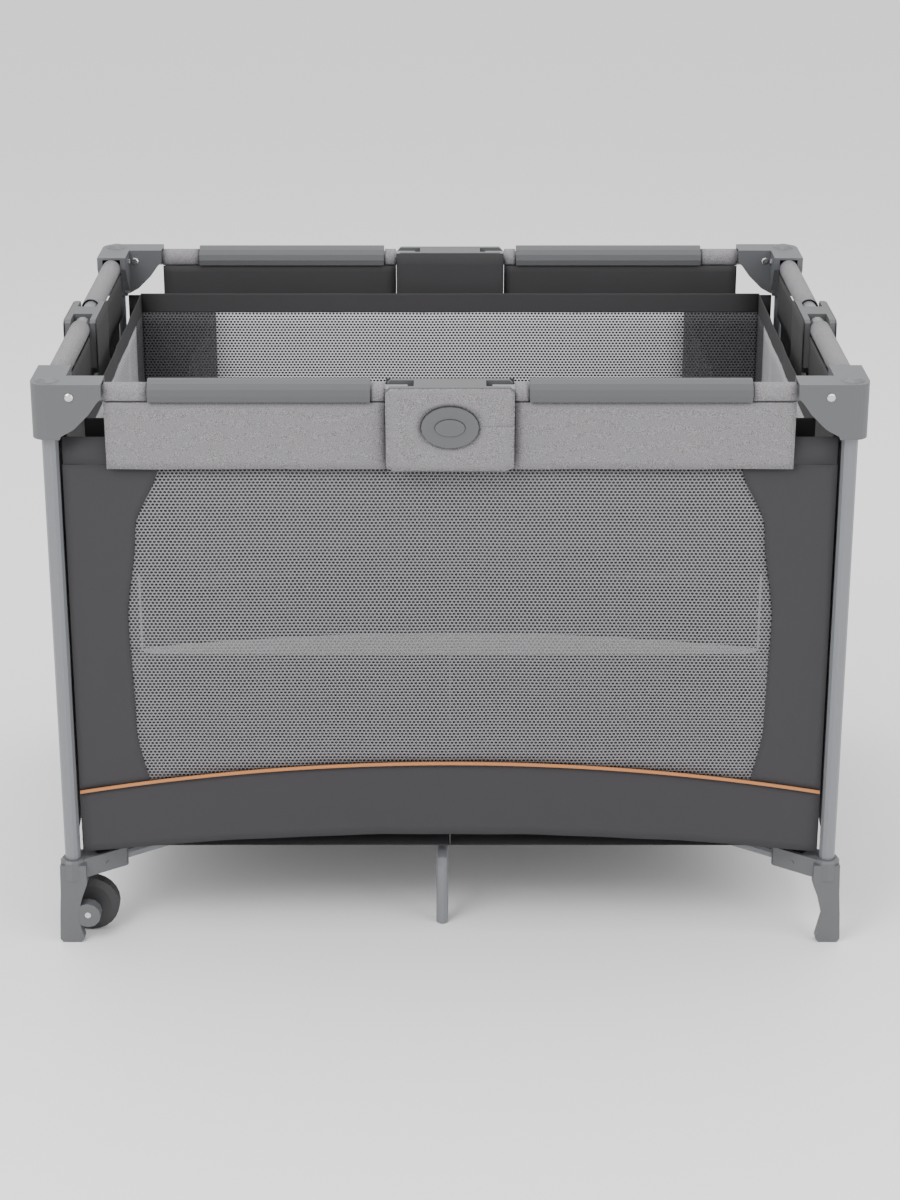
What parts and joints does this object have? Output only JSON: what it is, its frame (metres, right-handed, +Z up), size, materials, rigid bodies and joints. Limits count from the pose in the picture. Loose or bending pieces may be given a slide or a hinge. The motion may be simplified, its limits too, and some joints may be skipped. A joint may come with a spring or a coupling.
{
  "type": "travel play yard",
  "caption": "Folding travel play yard with fabric sides, tube rails, corner brackets, bassinet insert and wheeled feet.",
  "frame": {"origin": "on the floor, midway between the four corner posts", "axes": "+Z up, +X to the right along the long side, -Y towards the front"},
  "size_m": [1.014, 0.734, 0.75],
  "materials": {
    "bracket_plastic": "satin",
    "tube_paint": "satin",
    "grip_plastic": "satin",
    "steel": "satin",
    "latch_plastic": "satin",
    "wheel_rubber": "matte",
    "dark_fabric": "matte",
    "strap_webbing": "matte",
    "bassinet_fabric": "matte",
    "pad_fabric": "matte"
  },
  "bodies": {
    "post_front_left": {"post_front_left": "tube_paint", "corner_bracket_front_left": "bracket_plastic", "foot_front_left": "bracket_plastic", "rivet_long_front_left": "steel", "rivet_short_front_left": "steel", "axle_front_left": "steel", "panel_front": "dark_fabric", "panel_left": "dark_fabric"},
    "post_front_right": {"post_front_right": "tube_paint", "corner_bracket_front_right": "bracket_plastic", "foot_front_right": "bracket_plastic", "rivet_long_front_right": "steel", "rivet_short_front_right": "steel", "panel_right": "dark_fabric"},
    "post_back_left": {"post_back_left": "tube_paint", "corner_bracket_back_left": "bracket_plastic", "foot_back_left": "bracket_plastic", "rivet_long_back_left": "steel", "rivet_short_back_left": "steel", "axle_back_left": "steel", "panel_back": "dark_fabric"},
    "post_back_right": {"post_back_right": "tube_paint", "corner_bracket_back_right": "bracket_plastic", "foot_back_right": "bracket_plastic", "rivet_long_back_right": "steel", "rivet_short_back_right": "steel"},
    "base_tube_front_left": {"base_tube_front_left": "tube_paint"},
    "base_tube_front_right": {"base_tube_front_right": "tube_paint"},
    "base_tube_back_left": {"base_tube_back_left": "tube_paint"},
    "base_tube_back_right": {"base_tube_back_right": "tube_paint"},
    "hub": {"hub": "latch_plastic", "fold_strap": "strap_webbing", "fabric_floor": "dark_fabric"},
    "middle_leg_front": {"middle_leg_front": "tube_paint"},
    "middle_leg_back": {"middle_leg_back": "tube_paint"},
    "rail_front_left": {"rail_front_left": "tube_paint", "grip_front_left": "grip_plastic"},
    "rail_front_right": {"rail_front_right": "tube_paint", "grip_front_right": "grip_plastic"},
    "rail_back_left": {"rail_back_left": "tube_paint", "grip_back_left": "grip_plastic"},
    "rail_back_right": {"rail_back_right": "tube_paint", "grip_back_right": "grip_plastic"},
    "rail_left_front": {"rail_left_front": "tube_paint"},
    "rail_left_back": {"rail_left_back": "tube_paint"},
    "rail_right_front": {"rail_right_front": "tube_paint"},
    "rail_right_back": {"rail_right_back": "tube_paint"},
    "latch_front": {"latch_front": "latch_plastic"},
    "button_front": {"button_front": "latch_plastic"},
    "latch_back": {"latch_back": "latch_plastic"},
    "button_back": {"button_back": "latch_plastic"},
    "latch_left": {"latch_left": "latch_plastic"},
    "button_left": {"button_left": "latch_plastic"},
    "latch_right": {"latch_right": "latch_plastic"},
    "button_right": {"button_right": "latch_plastic"},
    "wheel_front_left": {"wheel_front_left": "wheel_rubber"},
    "wheel_back_left": {"wheel_back_left": "wheel_rubber"},
    "insert": {"bassinet": "bassinet_fabric", "mattress_pad": "pad_fabric"}
  },
  "joints": [
    {"name": "fold", "type": "hinge", "parent": "post_front_left", "child": "base_tube_front_left", "pos_m": [-0.44573, -0.31572, 0.1], "axis": [0.578, -0.816, 0], "range_deg": [0, 80], "deforming": ["panel_front", "panel_back", "panel_left", "panel_right", "fabric_floor"]},
    {"name": "hub_swing", "type": "hinge", "parent": "base_tube_front_left", "child": "hub", "pos_m": [-0.04937, -0.03497, 0.1], "axis": [0.578, -0.816, 0], "range_deg": [-80, 0]},
    {"name": "base_swing_front_right", "type": "hinge", "parent": "hub", "child": "base_tube_front_right", "pos_m": [0.04937, -0.03497, 0.1], "axis": [0.578, 0.816, 0], "range_deg": [0, 80]},
    {"name": "post_swing_front_right", "type": "hinge", "parent": "base_tube_front_right", "child": "post_front_right", "pos_m": [0.44573, -0.31572, 0.1], "axis": [0.578, 0.816, 0], "range_deg": [-80, 0]},
    {"name": "base_swing_back_left", "type": "hinge", "parent": "hub", "child": "base_tube_back_left", "pos_m": [-0.04937, 0.03497, 0.1], "axis": [-0.578, -0.816, 0], "range_deg": [0, 80]},
    {"name": "post_swing_back_left", "type": "hinge", "parent": "base_tube_back_left", "child": "post_back_left", "pos_m": [-0.44573, 0.31572, 0.1], "axis": [-0.578, -0.816, 0], "range_deg": [-80, 0]},
    {"name": "base_swing_back_right", "type": "hinge", "parent": "hub", "child": "base_tube_back_right", "pos_m": [0.04937, 0.03497, 0.1], "axis": [-0.578, 0.816, 0], "range_deg": [0, 80]},
    {"name": "post_swing_back_right", "type": "hinge", "parent": "base_tube_back_right", "child": "post_back_right", "pos_m": [0.44573, 0.31572, 0.1], "axis": [-0.578, 0.816, 0], "range_deg": [-80, 0]},
    {"name": "rail_front_left_swing", "type": "hinge", "parent": "post_front_left", "child": "rail_front_left", "pos_m": [-0.452, -0.34, 0.731], "axis": [0, 1, 0], "range_deg": [0, 80]},
    {"name": "rail_front_right_swing", "type": "hinge", "parent": "post_front_right", "child": "rail_front_right", "pos_m": [0.452, -0.34, 0.731], "axis": [0, -1, 0], "range_deg": [0, 80]},
    {"name": "latch_front_swing", "type": "hinge", "parent": "rail_front_left", "child": "latch_front", "pos_m": [-0.05564, -0.34, 0.731], "axis": [0, 1, 0], "range_deg": [-80, 0]},
    {"name": "button_front_press", "type": "slide", "parent": "latch_front", "child": "button_front", "axis": [0, 1, 0], "range_m": [0, 0.0035], "stiffness_N_per_m": 250},
    {"name": "rail_back_left_swing", "type": "hinge", "parent": "post_back_left", "child": "rail_back_left", "pos_m": [-0.452, 0.34, 0.731], "axis": [0, 1, 0], "range_deg": [0, 80]},
    {"name": "rail_back_right_swing", "type": "hinge", "parent": "post_back_right", "child": "rail_back_right", "pos_m": [0.452, 0.34, 0.731], "axis": [0, -1, 0], "range_deg": [0, 80]},
    {"name": "latch_back_swing", "type": "hinge", "parent": "rail_back_left", "child": "latch_back", "pos_m": [-0.05564, 0.34, 0.731], "axis": [0, 1, 0], "range_deg": [-80, 0]},
    {"name": "button_back_press", "type": "slide", "parent": "latch_back", "child": "button_back", "axis": [0, -1, 0], "range_m": [0, 0.0035], "stiffness_N_per_m": 250},
    {"name": "rail_left_front_swing", "type": "hinge", "parent": "post_front_left", "child": "rail_left_front", "pos_m": [-0.48, -0.312, 0.731], "axis": [-1, 0, 0], "range_deg": [0, 80]},
    {"name": "rail_left_back_swing", "type": "hinge", "parent": "post_back_left", "child": "rail_left_back", "pos_m": [-0.48, 0.312, 0.731], "axis": [1, 0, 0], "range_deg": [0, 80]},
    {"name": "latch_left_swing", "type": "hinge", "parent": "rail_left_front", "child": "latch_left", "pos_m": [-0.48, -0.03125, 0.731], "axis": [-1, 0, 0], "range_deg": [-80, 0]},
    {"name": "button_left_press", "type": "slide", "parent": "latch_left", "child": "button_left", "axis": [1, 0, 0], "range_m": [0, 0.0035], "stiffness_N_per_m": 250},
    {"name": "rail_right_front_swing", "type": "hinge", "parent": "post_front_right", "child": "rail_right_front", "pos_m": [0.48, -0.312, 0.731], "axis": [-1, 0, 0], "range_deg": [0, 80]},
    {"name": "rail_right_back_swing", "type": "hinge", "parent": "post_back_right", "child": "rail_right_back", "pos_m": [0.48, 0.312, 0.731], "axis": [1, 0, 0], "range_deg": [0, 80]},
    {"name": "latch_right_swing", "type": "hinge", "parent": "rail_right_front", "child": "latch_right", "pos_m": [0.48, -0.03125, 0.731], "axis": [-1, 0, 0], "range_deg": [-80, 0]},
    {"name": "button_right_press", "type": "slide", "parent": "latch_right", "child": "button_right", "axis": [-1, 0, 0], "range_m": [0, 0.0035], "stiffness_N_per_m": 250},
    {"name": "middle_leg_front_swing", "type": "hinge", "parent": "hub", "child": "middle_leg_front", "pos_m": [-0.01, -0.0605, 0.1], "axis": [1, 0, 0], "range_deg": [0, 89]},
    {"name": "middle_leg_back_swing", "type": "hinge", "parent": "hub", "child": "middle_leg_back", "pos_m": [0.01, 0.0605, 0.1], "axis": [-1, 0, 0], "range_deg": [0, 89]},
    {"name": "insert_lift", "type": "slide", "parent": "hub", "child": "insert", "axis": [0, 0, 1], "range_m": [0, 0.84]},
    {"name": "wheel_front_left_spin", "type": "hinge", "parent": "post_front_left", "child": "wheel_front_left", "pos_m": [-0.4635, -0.3135, 0.038], "axis": [0, 1, 0], "continuous": true},
    {"name": "wheel_back_left_spin", "type": "hinge", "parent": "post_back_left", "child": "wheel_back_left", "pos_m": [-0.4635, 0.3135, 0.038], "axis": [0, 1, 0], "continuous": true}
  ],
  "couplings": [
    {"joint": "hub_swing", "follows": "fold", "ratio": -1},
    {"joint": "base_swing_front_right", "follows": "fold", "ratio": 1},
    {"joint": "post_swing_front_right", "follows": "fold", "ratio": -1},
    {"joint": "base_swing_back_left", "follows": "fold", "ratio": 1},
    {"joint": "post_swing_back_left", "follows": "fold", "ratio": -1},
    {"joint": "base_swing_back_right", "follows": "fold", "ratio": 1},
    {"joint": "post_swing_back_right", "follows": "fold", "ratio": -1},
    {"joint": "rail_front_left_swing", "follows": "fold", "ratio": 1},
    {"joint": "rail_front_right_swing", "follows": "fold", "ratio": 1},
    {"joint": "latch_front_swing", "follows": "fold", "ratio": -1},
    {"joint": "rail_back_left_swing", "follows": "fold", "ratio": 1},
    {"joint": "rail_back_right_swing", "follows": "fold", "ratio": 1},
    {"joint": "latch_back_swing", "follows": "fold", "ratio": -1},
    {"joint": "rail_left_front_swing", "follows": "fold", "ratio": 1},
    {"joint": "rail_left_back_swing", "follows": "fold", "ratio": 1},
    {"joint": "latch_left_swing", "follows": "fold", "ratio": -1},
    {"joint": "rail_right_front_swing", "follows": "fold", "ratio": 1},
    {"joint": "rail_right_back_swing", "follows": "fold", "ratio": 1},
    {"joint": "latch_right_swing", "follows": "fold", "ratio": -1},
    {"joint": "middle_leg_front_swing", "follows": "fold", "ratio": 1.1},
    {"joint": "middle_leg_back_swing", "follows": "fold", "ratio": 1.1},
    {"joint": "insert_lift", "follows": "fold", "m_per_rad": 0.6}
  ]
}
